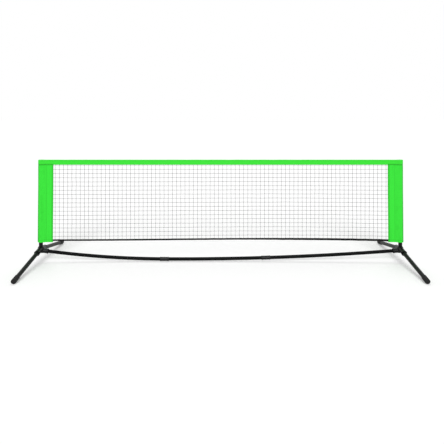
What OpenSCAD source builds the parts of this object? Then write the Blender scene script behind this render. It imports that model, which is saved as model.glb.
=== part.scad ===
// Portable pickleball net on a free-standing tube frame, in millimetres.
// X runs along the net, -Y is the front, +Z is up. The origin is on the floor, midway between the posts.

/* [Net] */
// Overall width, over the ends of the top tape
net_w = 3050; // [2600:10:3600]
// Height of the top of the tape above the floor
net_top_h = 850; // [760:5:960]
// Height of the top tape, from its fold to its lower edge
tape_h = 42.5; // [32:0.5:60]
// Thickness of the vinyl tape
tape_t = 1.2; // [0.8:0.1:2]
// Width of a sleeve, over its outer edge and its sewn band
sleeve_w = 128; // [95:1:160]
// Height of the lower edge of the sleeves above the floor
sleeve_bottom_h = 161; // [150:1:200]
// Thickness of the sleeve cloth
sleeve_t = 1.1; // [0.8:0.1:2]
// Width of the sewn strip that closes the post pocket
pocket_seam = 5; // [3:0.5:10]
// Distance from the post's axis to the start of the pocket's seam
pocket_taper = 48; // [36:1:56]
// Diameter of the head cord in the fold of the tape
head_cord_d = 5; // [3:0.5:7]

/* [Mesh] */
// Thickness and width of the mesh twine
twine = 2; // [1:0.1:2.5]
// Number of mesh squares along the net
mesh_columns = 37; // [10:1:37]
// Number of mesh squares up the net
mesh_rows = 8; // [3:1:8]
// Width of mesh that is sewn inside each sleeve and the tape
selvage = 22; // [12:1:28]

/* [Bottom binding] */
// Height of the binding
binding_h = 12; // [8:0.5:25]
// Height of the binding's lower edge above the floor, at the sleeves
binding_bottom_h = 172; // [165:1:215]
// How much higher the binding stands at mid net, where the mesh draws it up
binding_rise = 10; // [0:1:25]
// Thickness of one layer of the binding
binding_t = 1.1; // [0.8:0.1:2]

/* [Posts] */
// Outer diameter of a post
post_d = 32; // [28:0.5:34]
// Wall of the post and leg tubes
tube_t = 1.5; // [1:0.1:3]
// Distance from the end of the tape to the post's axis
post_edge = 23; // [21.5:0.5:30]
// How far the post's foot reaches below the centre of the hub
post_below = 27; // [15:1:30]
// Height of the post cap's flange and chamfer
post_cap_h = 5.5; // [4:0.5:10]
// Length of the post cap's plug inside the tube
post_plug = 22; // [12:1:40]
// Wall of the post cap's plug
post_plug_t = 3; // [2:0.5:5]

/* [Legs] */
// Outer diameter of a leg
leg_d = 32; // [28:0.5:34]
// Length of a leg's tube
leg_tube = 480; // [430:5:560]
// Angle of the legs below the horizontal
leg_tilt = 10; // [8:0.5:13]
// Angle that the legs splay outwards from the net's normal
leg_splay = 0; // [0:0.1:6]

/* [Foot caps] */
// Length of a rubber foot cap
foot_len = 68; // [45:1:90]
// Side wall of a foot cap
foot_t = 3.5; // [2.5:0.1:5]
// End wall of a foot cap
foot_end = 6; // [4:0.5:10]
// Chamfer round the end of a foot cap
foot_chamfer = 2; // [1:0.5:3]
// Depth of the flat on which a foot cap rests
foot_flat = 1.2; // [0.5:0.1:2]

/* [Base bar] */
// Outer diameter of the base bar
bar_d = 28; // [22:0.5:30]
// Wall of the base bar's tubes
bar_t = 1.5; // [1:0.1:3]
// Place of the left coupler from mid net
coupler_a_x = -469; // [-700:1:-300]
// Distance from the left coupler to the bar's lowest point, towards mid net
bar_low_in = 120; // [0:5:140]
// Place of the right coupler from mid net
coupler_b_x = 378; // [300:1:700]
// Length of a coupler
coupler_len = 72; // [50:1:100]
// Wall of a coupler
coupler_t = 1.8; // [1.5:0.1:3]
// Width of the raised rim at each end of a coupler
coupler_rim = 8; // [4:1:14]
// Height of that rim over the coupler's wall
coupler_rim_t = 1.2; // [0.8:0.1:2]
// Thickness of the stop inside a coupler
coupler_stop = 3; // [2:0.5:6]
// Height of the lowest coupler above the floor
bar_clear = 3; // [1:0.5:8]
// How far the bar's axis meets the post's axis below the centre of the hub
bar_below = 13; // [4:1:14]

/* [Hubs] */
// Distance from the centre of the hub to the mouth of a leg socket
leg_socket = 86; // [70:1:110]
// Distance from the centre of the hub to the mouth of the bar socket
bar_socket = 63; // [50:1:80]
// Height of the post socket's mouth above the centre of the hub
post_socket = 17; // [14:1:24]
// Wall of the leg sockets
leg_socket_t = 5.5; // [4:0.5:7]
// Wall of the bar socket
bar_socket_t = 5; // [4:0.5:7]
// Wall of the post socket
post_socket_t = 4.5; // [3:0.5:5.5]
// Length of the raised rim at each socket's mouth
socket_rim = 9; // [5:1:14]
// Height of that rim over the socket's wall
socket_rim_t = 1.6; // [1:0.1:2.5]
// Least wall between the post's bore and the other bores
core_wall = 4.7; // [3:0.1:7]
// Thickness of the floor under the post
hub_floor = 4; // [3:0.5:7]
// Thickness of the ribs between the sockets
rib_t = 7; // [4:0.5:12]
// Distance from the centre of the hub to the ends of the ribs
rib_reach = 62; // [48:1:66]

/* [Clearances] */
// Radial clearance of a tube that pulls out of its socket
slip_gap = 0.1; // [0.05:0.01:0.3]
// Radial clearance of a cap or a coupler on its tube
push_gap = 0.05; // [0.02:0.01:0.2]
// Radial clearance of the cloth pocket round the post
cloth_gap = 0.4; // [0.2:0.1:1]
// Gap between layers of cloth that are sewn together
seam_gap = 0.1; // [0.05:0.05:0.3]

/* [Hidden] */
$fn = 64;
// Fine steps for the bow of the base bar, whose radius is several metres
bow_fn = 1440;
// Room for the bowed bar in a straight bore, in heights of the bow along that bore
bow_room = 2;
// Height of the post cap's flange, as a share of the cap
flange_share = 0.55;
// Height of the sewn web of tape between the head cord and the mesh
tape_seam = 4;
// Steps along the arched binding
arch_steps = 24;
// Steps along the round of a sleeve
arc_steps = 12;
// Something to cut through with
over = 1;

post_r = post_d / 2;
leg_r = leg_d / 2;
bar_r = bar_d / 2;
post_x = net_w / 2 - post_edge;
foot_r = leg_r + push_gap + foot_t;
post_bore_r = post_r + slip_gap;
leg_bore_r = leg_r + slip_gap;

// Legs run out from the hub's centre. Their tubes start where a wall is left beside the post's bore.
leg_start = (post_bore_r + core_wall + leg_bore_r * sin(leg_tilt)) / cos(leg_tilt);
leg_end = leg_start + leg_tube + foot_end;
hub_h = (leg_end - foot_chamfer) * sin(leg_tilt) + foot_r * cos(leg_tilt) - foot_flat;

// The base bar hangs in two bows that meet in the left coupler. A bow is an arc, given by the X and Z
// of its centre and its radius. It leaves p at an angle above the horizontal and ends at q.
bar_low_z = bar_clear + bar_r + push_gap + coupler_t + coupler_rim_t;
bar_low_x = coupler_a_x + bar_low_in;
bar_end_z = hub_h - bar_below;
function bow_through(p, angle, q) =
    let (up = [-sin(angle), cos(angle)], radius = (q - p) * (q - p) / (2 * (q - p) * up))
        concat(p + radius * up, radius);
function bow_angle(bow, x) = asin((x - bow.x) / bow.z);
function bow_height(bow, x) = bow.y - bow.z * cos(bow_angle(bow, x));
bow_b = bow_through([bar_low_x, bar_low_z], 0, [post_x, bar_end_z]);
bow_a = bow_through([coupler_a_x, bow_height(bow_b, coupler_a_x)],
    bow_angle(bow_b, coupler_a_x), [-post_x, bar_end_z]);
function bow_at(x) = x < coupler_a_x ? bow_a : bow_b;
function bar_angle(x) = bow_angle(bow_at(x), x);
function bar_z(x) = bow_height(bow_at(x), x);
bar_start = leg_start;
bar_x = (bar_start + bar_socket) / 2;
function socket_angle(side) = abs(bar_angle(side * (post_x - bar_x)));
function bow_rise(len) = len * len / (8 * bow_a.z);
bar_bore_r = bar_r + push_gap + bow_room * bow_rise(bar_socket);
coupler_bore_r = bar_r + push_gap + bow_room * bow_rise(coupler_len);
coupler_r = coupler_bore_r + coupler_t;
bar_stop = coupler_stop / 2 + seam_gap;

leg_barrel_r = leg_bore_r + leg_socket_t;
bar_barrel_r = bar_bore_r + bar_socket_t;
post_barrel_r = post_bore_r + post_socket_t;
core_r = leg_barrel_r + socket_rim_t;
rim_taper = socket_rim / 2;

// Net, seen from above. Distances along the net start at the post's axis and grow towards mid net.
mesh_gap = twine / 2 + seam_gap;
pocket_r = post_r + cloth_gap;
band_end = sleeve_w - post_edge;
sleeve_in_x = post_x - band_end;
tape_bottom = net_top_h - tape_h;
tape_roof = net_top_h - tape_t;
cord_r = head_cord_d / 2;
cord_z = tape_roof - seam_gap - cord_r;
slot_top = cord_z - cord_r - seam_gap - tape_seam;
sleeve_top = tape_roof - seam_gap;
post_top = tape_roof - cloth_gap - post_cap_h;
mesh_x = sleeve_in_x + selvage;
mesh_top = slot_top - seam_gap;
function arch(x) = binding_rise * (1 - pow(x / sleeve_in_x, 2));
function mesh_foot(x) = binding_bottom_h + binding_t + seam_gap + max(arch(x), 0);

// Frames. side is -1 for the left end and 1 for the right, way is -1 for the front and 1 for the rear.

// Stands on the hub's centre.
module at_hub(side) {
    translate([side * post_x, 0, hub_h]) children();
}

// Looks out along a leg, from the hub's centre.
module at_leg(side, way) {
    at_hub(side) leg_turn(side, way) children();
}

module leg_turn(side, way) {
    rotate([0, 0, way * (90 - side * leg_splay)]) rotate([0, 90 + leg_tilt, 0]) children();
}

// Looks out of the bar socket along the bar, from midway down the socket.
module at_bar_socket(side) {
    x = side * (post_x - bar_x);
    translate([x, 0, bar_z(x)]) rotate([0, -side * (90 + socket_angle(side)), 0]) children();
}

// Looks along +X down the bar at x.
module at_bar(x) {
    translate([x, 0, bar_z(x)]) rotate([0, 90 - bar_angle(x), 0]) children();
}

// Shapes that repeat

module ring(outer, inner) {
    difference() {
        circle(r = outer);
        circle(r = inner);
    }
}

module tube(outer, wall, len) {
    linear_extrude(height = len) ring(outer, outer - wall);
}

// A disc-ended cylinder whose far edge is chamfered
module chamfered(r, len, chamfer) {
    cylinder(r = r, h = len - chamfer);
    translate([0, 0, len - chamfer]) cylinder(r1 = r, r2 = r - chamfer, h = chamfer);
}

// A length of the base bar between two places along the net, on one of its two bows
module bar_tube(x0, x1) {
    bow = bow_at((x0 + x1) / 2);
    from = bow_angle(bow, x0);
    to = bow_angle(bow, x1);
    translate([bow.x, 0, bow.y])
        rotate([90, 0, 0])
            rotate([0, 0, from - 90])
                rotate_extrude(angle = to - from, $fn = bow_fn)
                    translate([bow.z, 0]) ring(bar_r, bar_r - bar_t, $fn = 64);
}

// Base

// A socket barrel that stands on the hub's core, with a raised rim at its mouth
module barrel(r, len) {
    cylinder(r = r, h = len - socket_rim);
    translate([0, 0, len - socket_rim - rim_taper])
        cylinder(r1 = r, r2 = r + socket_rim_t, h = rim_taper);
    translate([0, 0, len - socket_rim]) chamfered(r + socket_rim_t, socket_rim, socket_rim_t);
}

// A flat rib in the plane of the post and a leg. It fills the corners above and below the leg's socket.
module leg_rib(side, way) {
    rib_z = -rib_reach * tan(leg_tilt);
    rib_h = leg_barrel_r / cos(leg_tilt);
    rotate([0, 0, way * (90 - side * leg_splay)])
        rotate([90, 0, 0])
            translate([0, 0, -rib_t / 2])
                linear_extrude(height = rib_t)
                    polygon([[0, post_socket - rim_taper],
                        [post_barrel_r, post_socket - rim_taper],
                        [rib_reach, rib_z + rib_h],
                        [rib_reach, rib_z - rib_h],
                        [post_barrel_r, -post_below - hub_floor],
                        [0, -post_below - hub_floor]]);
}

module hub(side) {
    difference() {
        union() {
            at_hub(side) {
                sphere(r = core_r);
                translate([0, 0, -post_below - hub_floor])
                    barrel(post_barrel_r, post_below + hub_floor + post_socket);
                for (way = [-1, 1]) {
                    leg_turn(side, way) barrel(leg_barrel_r, leg_socket);
                    leg_rib(side, way);
                }
            }
            at_bar_socket(side) translate([0, 0, -bar_x]) barrel(bar_barrel_r, bar_socket);
        }
        at_hub(side) {
            translate([0, 0, -post_below])
                cylinder(r = post_bore_r, h = post_below + core_r + post_socket);
            for (way = [-1, 1])
                leg_turn(side, way) translate([0, 0, leg_start])
                    cylinder(r = leg_bore_r, h = leg_socket + over - leg_start);
        }
        at_bar_socket(side) translate([0, 0, (bar_start - bar_x) / cos(socket_angle(side))])
            cylinder(r = bar_bore_r, h = bar_socket + over);
    }
}

module left_hub() {
    color("#1d1e20") hub(-1);
}

module right_hub() {
    color("#1d1e20") hub(1);
}

module base_bar_left() {
    color("#26282a") bar_tube(bar_start - post_x + seam_gap, coupler_a_x - bar_stop);
}

module base_bar_middle() {
    color("#26282a") bar_tube(coupler_a_x + bar_stop, coupler_b_x - bar_stop);
}

module base_bar_right() {
    color("#26282a") bar_tube(coupler_b_x + bar_stop, post_x - bar_start - seam_gap);
}

// A moulded ferrule with a rim at each end, a band at its middle and a stop inside
module coupler() {
    difference() {
        union() {
            translate([0, 0, -coupler_len / 2]) cylinder(r = coupler_r, h = coupler_len);
            for (end = [0, 1])
                mirror([0, 0, end])
                    translate([0, 0, coupler_len / 2 - coupler_rim])
                        chamfered(coupler_r + coupler_rim_t, coupler_rim, coupler_rim_t);
            translate([0, 0, -coupler_stop / 2])
                cylinder(r = coupler_r + coupler_rim_t / 2, h = coupler_stop);
        }
        for (end = [0, 1])
            mirror([0, 0, end])
                translate([0, 0, coupler_stop / 2])
                    cylinder(r = coupler_bore_r, h = coupler_len);
        cylinder(r = bar_r - bar_t, h = coupler_len, center = true);
    }
}

module base_coupler_left() {
    color("#161718") at_bar(coupler_a_x) coupler();
}

module base_coupler_right() {
    color("#161718") at_bar(coupler_b_x) coupler();
}

// Legs and foot caps

module leg(side, way) {
    color("#26282a") at_leg(side, way) translate([0, 0, leg_start]) tube(leg_r, tube_t, leg_tube);
}

module left_front_leg() {
    leg(-1, -1);
}

module left_rear_leg() {
    leg(-1, 1);
}

module right_front_leg() {
    leg(1, -1);
}

module right_rear_leg() {
    leg(1, 1);
}

// A rubber cap over the end of a leg, cut flat where it rests on the floor
module foot(side, way) {
    color("#141414") intersection() {
        at_leg(side, way) translate([0, 0, leg_end - foot_len]) difference() {
            union() {
                mirror([0, 0, 1]) translate([0, 0, -foot_len / 2])
                    chamfered(foot_r, foot_len / 2, foot_chamfer / 2);
                translate([0, 0, foot_len / 2])
                    chamfered(foot_r, foot_len / 2, foot_chamfer);
            }
            translate([0, 0, -over])
                cylinder(r = leg_r + push_gap, h = foot_len - foot_end + over);
        }
        translate([-net_w, -net_w, 0]) cube([2 * net_w, 2 * net_w, net_top_h]);
    }
}

module left_front_foot() {
    foot(-1, -1);
}

module left_rear_foot() {
    foot(-1, 1);
}

module right_front_foot() {
    foot(1, -1);
}

module right_rear_foot() {
    foot(1, 1);
}

// Posts

module post(side) {
    color("#26282a") translate([side * post_x, 0, hub_h - post_below])
        tube(post_r, tube_t, post_top - hub_h + post_below);
}

module left_post() {
    post(-1);
}

module right_post() {
    post(1);
}

// A plug with a flange that covers the tube's end
module post_cap(side) {
    flange = flange_share * post_cap_h;
    plug_r = post_r - tube_t - push_gap;
    color("#161718") translate([side * post_x, 0, post_top]) {
        cylinder(r = post_r, h = flange);
        translate([0, 0, flange])
            cylinder(r1 = post_r, r2 = post_r - post_cap_h, h = post_cap_h - flange);
        translate([0, 0, -post_plug]) tube(plug_r, post_plug_t, post_plug + flange / 2);
    }
}

module left_post_cap() {
    post_cap(-1);
}

module right_post_cap() {
    post_cap(1);
}

// Net. The next shapes are seen from above, with the post's axis at their origin and mid net at +X.

// Direction in which the line from (d, h) touches a circle of radius r at the origin, on its upper side
function touch(d, h, r) = atan2(h, d) + acos(r / norm([d, h]));

// Points along an arc about the origin, between two directions
function arc(r, from, to) = [for (i = [0:arc_steps]) r * [cos(from + (to - from) * i / arc_steps),
    sin(from + (to - from) * i / arc_steps)]];

// A closed outline from its upper half
function mirrored(half) = [for (p = half) p, for (i = [len(half) - 1:-1:0]) [half[i].x, -half[i].y]];

// Outline of the sleeve: round the post, drawn in to an edge outside and to the flat band inside
module sleeve_outline(grow = 0) {
    r = pocket_r + sleeve_t + grow;
    edge = post_edge - tape_t - seam_gap + grow;
    edge_h = sleeve_t + grow;
    band_h = mesh_gap + sleeve_t + grow;
    polygon(mirrored(concat([[-edge, edge_h]],
        arc(r, 180 - touch(edge, edge_h, r), touch(pocket_taper, band_h, r)),
        [[pocket_taper, band_h], [band_end + grow, band_h]])));
}

// The pocket's hollow, and the slot that takes the edge of the mesh
module sleeve_hollow() {
    to = touch(pocket_taper, mesh_gap, pocket_r);
    from = 180 - (180 - to) / (2 * arc_steps + 1);
    polygon(mirrored(concat(arc(pocket_r, from, to), [[pocket_taper, mesh_gap]])));
    translate([pocket_taper + pocket_seam, -mesh_gap]) square([sleeve_w, 2 * mesh_gap]);
}

// Carries a shape seen from above to its end of the net, standing on height z
module at_end(side, z) {
    translate([side * post_x, 0, z]) mirror([side > 0 ? 1 : 0, 0, 0]) children();
}

module sleeve(side) {
    color("#43e63e") at_end(side, sleeve_bottom_h)
        linear_extrude(height = sleeve_top - sleeve_bottom_h) difference() {
            sleeve_outline();
            sleeve_hollow();
        }
}

module left_sleeve() {
    sleeve(-1);
}

module right_sleeve() {
    sleeve(1);
}

// Runs a section drawn in Y and Z along the net, from one sleeve to the other
module along_net(len) {
    translate([-len / 2, 0, 0]) rotate([90, 0, 90]) linear_extrude(height = len) children();
}

module top_tape() {
    fold_r = cord_r + seam_gap + tape_t;
    wall = mesh_gap + tape_t;
    color("#43e63e") difference() {
        union() {
            along_net(2 * (sleeve_in_x - over)) {
                translate([0, cord_z]) circle(r = fold_r);
                translate([-wall, tape_bottom]) square([2 * wall, cord_z - tape_bottom]);
            }
            for (side = [-1, 1])
                at_end(side, tape_bottom) linear_extrude(height = tape_h)
                    sleeve_outline(seam_gap + tape_t);
        }
        along_net(2 * sleeve_in_x + over) {
            translate([0, cord_z]) circle(r = cord_r + seam_gap);
            translate([-mesh_gap, tape_bottom - over])
                square([2 * mesh_gap, slot_top - tape_bottom + over]);
        }
        for (side = [-1, 1])
            at_end(side, tape_bottom - over) linear_extrude(height = tape_h - tape_t + over)
                sleeve_outline(seam_gap);
    }
}

module head_cord() {
    color("#e8e8e4") along_net(2 * sleeve_in_x) translate([0, cord_z]) circle(r = cord_r);
}

// A strip seen from the front, between two heights that follow the arch
module arched_strip(half_w, low, high) {
    xs = [for (i = [0:arch_steps]) half_w * (2 * i / arch_steps - 1)];
    polygon([for (x = xs) [x, low + max(arch(x), 0)],
        for (i = [arch_steps:-1:0]) [xs[i], high + max(arch(xs[i]), 0)]]);
}

// Carries a shape seen from the front to the net's plane, with a thickness
module in_net_plane(t) {
    rotate([90, 0, 0]) translate([0, 0, -t / 2]) linear_extrude(height = t) children();
}

module net_mesh() {
    pitch_x = (2 * mesh_x - twine) / mesh_columns;
    foot = mesh_foot(0);
    pitch_z = (mesh_top - twine - foot) / mesh_rows;
    color("#5b5f5e") in_net_plane(twine) {
        for (i = [0:mesh_columns]) {
            x = i * pitch_x - mesh_x;
            low = mesh_foot(x + twine / 2) + twine / 2;
            translate([x, low]) square([twine, mesh_top - low]);
        }
        for (j = [1:mesh_rows])
            translate([-mesh_x, foot + j * pitch_z]) square([2 * mesh_x, twine]);
        arched_strip(mesh_x, mesh_foot(mesh_x), mesh_foot(mesh_x) + twine);
    }
}

module bottom_binding() {
    w = sleeve_in_x - seam_gap;
    top = binding_bottom_h + binding_h;
    color("#101010") difference() {
        in_net_plane(2 * (mesh_gap + binding_t)) arched_strip(w, binding_bottom_h, top);
        in_net_plane(2 * mesh_gap)
            arched_strip(mesh_x, binding_bottom_h + binding_t, top + over);
    }
}

left_hub();
right_hub();
base_bar_left();
base_bar_middle();
base_bar_right();
base_coupler_left();
base_coupler_right();
left_front_leg();
left_rear_leg();
right_front_leg();
right_rear_leg();
left_front_foot();
left_rear_foot();
right_front_foot();
right_rear_foot();
left_post();
right_post();
left_post_cap();
right_post_cap();
top_tape();
head_cord();
net_mesh();
left_sleeve();
right_sleeve();
bottom_binding();
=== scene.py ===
# %% [markdown]
# # A portable pickleball net
#
# The real thing is a net of dark twine, hemmed with a green coated tape along its top and a black
# binding along its foot. Green sleeves slide down over two posts, and a frame of black steel tubes
# with moulded hubs stands on four splayed legs. The rigid parts come from CAD at their true size and
# stay where they are. This lesson dresses them: cloth, twine and stitching are new meshes, the
# moulded parts get their rounded edges, and every surface gets a finish made of nodes.

# %% Load the fixed frame
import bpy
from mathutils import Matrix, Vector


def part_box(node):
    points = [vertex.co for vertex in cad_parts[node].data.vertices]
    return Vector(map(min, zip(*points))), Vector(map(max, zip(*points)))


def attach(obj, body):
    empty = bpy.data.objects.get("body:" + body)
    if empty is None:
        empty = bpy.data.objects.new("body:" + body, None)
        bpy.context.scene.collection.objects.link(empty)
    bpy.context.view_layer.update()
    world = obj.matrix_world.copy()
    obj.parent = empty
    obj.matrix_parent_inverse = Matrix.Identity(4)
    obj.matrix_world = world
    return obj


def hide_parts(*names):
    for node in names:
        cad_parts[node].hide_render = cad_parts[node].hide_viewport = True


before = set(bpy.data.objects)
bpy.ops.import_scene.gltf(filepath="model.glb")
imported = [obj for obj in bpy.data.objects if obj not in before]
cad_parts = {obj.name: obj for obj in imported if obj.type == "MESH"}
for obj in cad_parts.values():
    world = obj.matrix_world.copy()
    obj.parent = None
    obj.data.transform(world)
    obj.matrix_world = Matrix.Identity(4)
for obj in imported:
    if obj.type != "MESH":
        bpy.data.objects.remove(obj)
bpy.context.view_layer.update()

# %% [markdown]
# The rest of the script needs Blender's mesh tools, and numpy for points that come by the thousand.
# All lengths are in metres, so MM turns a workshop size into Blender's unit. The random numbers are
# seeded, so every run gives the same net.

# %% Tools and units
import math

import bmesh
import bpy
import numpy as np
from mathutils import Vector

MM = 0.001
LEFT, RIGHT = -1, 1
END_NAME = {LEFT: "left", RIGHT: "right"}
FRONT, REAR = -1, 1
WAY_NAME = {FRONT: "front", REAR: "rear"}
dice = np.random.default_rng(7)

# %% [markdown]
# Every new piece has to fit the CAD frame, so its size is read from the frame and not typed again.
# A post's axis is the middle of its box, and the boxes of the cloth give the heights of the tape, the
# sleeves and the binding.

# %% Sizes read from the frame
post_low, post_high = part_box("right_post")
POST_X = (post_low.x + post_high.x) / 2
POST_R = (post_high.x - post_low.x) / 2
tape_low, tape_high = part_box("top_tape")
sleeve_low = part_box("right_sleeve")[0]
mesh_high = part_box("net_mesh")[1]
binding_low, binding_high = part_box("bottom_binding")
cord_low, cord_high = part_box("head_cord")
SLEEVE_IN = sleeve_low.x
print(f"post axis at {POST_X:.4f} m, tape from {tape_low.z:.4f} to {tape_high.z:.4f} m")

# %% [markdown]
# ## Shader maths
#
# A material in Blender is a graph of nodes. Written out node by node, even 1 - mask takes five lines.
# The small class below wraps the output of a node and overloads Python's operators, so that an
# expression on wires adds the Math nodes by itself. The reflected forms let a plain number stand on
# the left.

# %% Wires that can be added and multiplied
class Wire:
    def __init__(self, finish, socket):
        self.finish, self.socket = finish, socket

    def maths(self, operation, *values):
        return self.finish.node("ShaderNodeMath", {"operation": operation}, dict(enumerate(values)))

    def __add__(self, other):
        return self.maths("ADD", self, other)

    def __sub__(self, other):
        return self.maths("SUBTRACT", self, other)

    def __rsub__(self, other):
        return self.maths("SUBTRACT", other, self)

    def __mul__(self, other):
        return self.maths("MULTIPLY", self, other)

    __radd__, __rmul__ = __add__, __mul__

    def sine(self):
        return self.maths("SINE", self)

    def least(self, other):
        return self.maths("MINIMUM", self, other)

    def most(self, other):
        return self.maths("MAXIMUM", self, other)

    def ramp(self, low, high):
        return self.finish.node("ShaderNodeMapRange", {"interpolation_type": "SMOOTHSTEP"},
                                {"Value": self, "From Min": low, "From Max": high})


# %% [markdown]
# A finish is one material. Its node method is the only place that makes nodes: it takes the type,
# then the settings, which decide the sockets that a node has, and then the values or wires of its
# sockets. Colours are written as a painter would read them off the screen, and paint() turns them
# into the linear light that the renderer works in.

# %% Finishes made of nodes
def paint(code):
    parts = [int(code[i:i + 2], 16) / 255 for i in (1, 3, 5)]
    return tuple(c / 12.92 if c <= 0.04045 else ((c + 0.055) / 1.055) ** 2.4 for c in parts) + (1.0,)


class Finish:
    def __init__(self, name):
        self.material = bpy.data.materials.new(name)
        self.material.use_nodes = True
        self.tree = self.material.node_tree
        self.shader = self.tree.nodes["Principled BSDF"]

    def fill(self, made, sockets):
        for key, value in sockets.items():
            if isinstance(value, Wire):
                self.tree.links.new(value.socket, made.inputs[key])
            else:
                made.inputs[key].default_value = value

    def node(self, kind, settings=None, sockets=None, output=0):
        made = self.tree.nodes.new(kind)
        for key, value in (settings or {}).items():
            setattr(made, key, value)
        self.fill(made, sockets or {})
        return Wire(self, made.outputs[output])

    def surface(self, **sockets):
        self.fill(self.shader, {key.replace("_", " "): value for key, value in sockets.items()})
        print("finish", self.material.name, "has", len(self.tree.nodes), "nodes")
        return self.material

    def place(self):
        return self.node("ShaderNodeTexCoord", output="Object")

    def along(self, axis):
        return self.node("ShaderNodeSeparateXYZ", sockets={0: self.place()}, output="XYZ".index(axis))

    def noise(self, scale, detail=2.0, stretch=(1, 1, 1)):
        spot = self.node("ShaderNodeVectorMath", {"operation": "MULTIPLY"}, {0: self.place(), 1: stretch})
        return self.node("ShaderNodeTexNoise", sockets={"Vector": spot, "Scale": scale, "Detail": detail})

    def blend(self, share, first, second):
        return self.node("ShaderNodeMix", {"data_type": "RGBA"}, {0: share, 6: first, 7: second}, output=2)

    def bump(self, height, depth, strength=1.0, under=None):
        sockets = {"Height": height, "Distance": depth, "Strength": strength}
        if under:
            sockets["Normal"] = under
        return self.node("ShaderNodeBump", sockets=sockets)


# %% [markdown]
# ## The frame's finishes
#
# The tubes are steel with a black powder coat. The powder melts into a film with a faint orange peel,
# so the finish is a fine bump under a satin gloss, and the roughness wanders a little from place to
# place. A flat black would look like a hole in the picture. The one coat comes in two copies: the base
# bar's is blacker with less gloss, a painted shade, and the legs' and posts' is a little lighter with
# more gloss, a painted highlight, which only sets how bright each looks.

# %% Powder coat
def powder_coat(name, colour, shine):
    coat = Finish(name)
    peel = coat.noise(620, 2)
    cloud = coat.noise(9, 3)
    rubbed = coat.noise(60, 4).ramp(0.58, 0.8)
    return coat.surface(
        Base_Color=coat.blend(rubbed * 0.3, paint(colour), paint("#242527")),
        Roughness=cloud * 0.16 + 0.32,
        Specular_IOR_Level=shine,
        Normal=coat.bump(peel, 0.00012, 0.5))


# Two copies of one coat: the darker bar copy is painted shade, the lighter leg copy painted highlight.
bar_coat = powder_coat("bar_powder_coat_shaded", "#060707", 0.05)
leg_coat = powder_coat("leg_powder_coat_lit", "#0a0b0b", 0.14)

# %% [markdown]
# The hubs, couplers and plugs are moulded plastic. A mould is spark-eroded to a fine grain, which
# breaks up the highlights, so the grain is a small bump of cells with a wider swell below it. The
# rubber of the feet is the same idea, duller and greyer where it has been rubbed on the floor.

# %% Moulded plastic and rubber
def moulded(name, colour, rubbed_colour, roughness, grain=900, depth=0.00006):
    skin = Finish(name)
    cells = skin.node("ShaderNodeTexVoronoi", sockets={"Vector": skin.place(), "Scale": grain})
    swell = skin.noise(45, 2)
    scuff = skin.noise(130, 5).ramp(0.55, 0.78)
    return skin.surface(
        Base_Color=skin.blend(scuff * 0.5, paint(colour), paint(rubbed_colour)),
        Roughness=swell * 0.14 + scuff * 0.1 + roughness,
        Specular_IOR_Level=0.2,
        Normal=skin.bump(swell, 0.0003, 0.35, skin.bump(cells, depth, 0.6)))


hub_plastic = moulded("hub_nylon", "#070808", "#1c1d1e", 0.3)
coupler_plastic = moulded("coupler_nylon", "#08090a", "#1a1b1c", 0.34)
cap_plastic = moulded("plug_plastic", "#161718", "#2a2b2c", 0.45)
foot_rubber = moulded("foot_cap_rubber", "#1a1a1a", "#3a3937", 0.66, 500, 0.0001)

# %% [markdown]
# ## The cloth finishes
#
# Both greens are woven. The tape is a coated cloth: the weave shows through the film as a soft grid,
# and the film has a low gloss. The sleeves are a bare polyester weave, duller, with a soft sheen. A
# weave is two sets of sine waves in the plane of the cloth, one for each direction of thread. The
# cloth hangs in the plane of X and Z, so those two coordinates are its threads.

# %% Woven cloth
def woven(name, colour, shade_colour, pitch, depth, roughness, sheen, coat):
    cloth = Finish(name)
    across = (cloth.along("X") * (math.pi / pitch)).sine()
    upward = (cloth.along("Z") * (math.pi / pitch)).sine()
    threads = (across * upward) * 0.5 + 0.5
    slub = cloth.noise(38, 3, (1, 1, 4))
    fade = cloth.noise(3.2, 3)
    # The crease attribute that each piece carries is mostly painted shade: it pulls the colour towards the
    # shade colour where shade falls on the piece. The slub, the fade and the weave add the cloth's own
    # uneven tone.
    crease = cloth.node("ShaderNodeAttribute", {"attribute_name": "crease"}, output=2)
    shade = (slub * 0.18 + fade * 0.12 + crease * 0.75 + threads * 0.06 - 0.12).most(0).least(1)
    return cloth.surface(
        Base_Color=cloth.blend(shade, paint(colour), paint(shade_colour)),
        Roughness=slub * 0.12 + roughness,
        Specular_IOR_Level=0.2,
        Sheen_Weight=sheen,
        Coat_Weight=coat,
        Coat_Roughness=0.4,
        Normal=cloth.bump(slub, 0.0004, 0.25, cloth.bump(threads, depth, 0.5)))


tape_cloth = woven("tape_coated_cloth", "#36e031", "#1ba41a", 0.0009, 0.00005, 0.42, 0.0, 0.12)
sleeve_cloth = woven("sleeve_polyester", "#37e238", "#1ba01b", 0.0007, 0.00008, 0.68, 0.12, 0.0)
binding_web = woven("binding_webbing", "#0b0b0b", "#040404", 0.0012, 0.00015, 0.75, 0.02, 0.0)

# %% [markdown]
# Twine, sewing thread and the head cord are all yarns. A braid crosses over itself on two slants,
# which the sum and the difference of the coordinates give for a strand in any direction of the net.

# %% Braided yarn
def braided(name, colour, gap_colour, pitch, depth, roughness):
    yarn = Finish(name)
    x, y, z = (yarn.along(axis) for axis in "XYZ")
    slant = ((x + z + y * 0.6) * (math.tau / pitch)).sine()
    counter = ((x - z + y * 0.6) * (math.tau / pitch)).sine()
    ply = slant.most(counter) * 0.5 + 0.5
    dust = yarn.noise(24, 3)
    return yarn.surface(
        # The gaps between the plies take the darker gap colour: painted shade in the grooves of the braid.
        Base_Color=yarn.blend((ply * 0.55 + dust * 0.35).least(1), paint(gap_colour), paint(colour)),
        Roughness=dust * 0.12 + roughness,
        Sheen_Weight=0.15,
        Normal=yarn.bump(ply, depth, 0.7))


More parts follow.
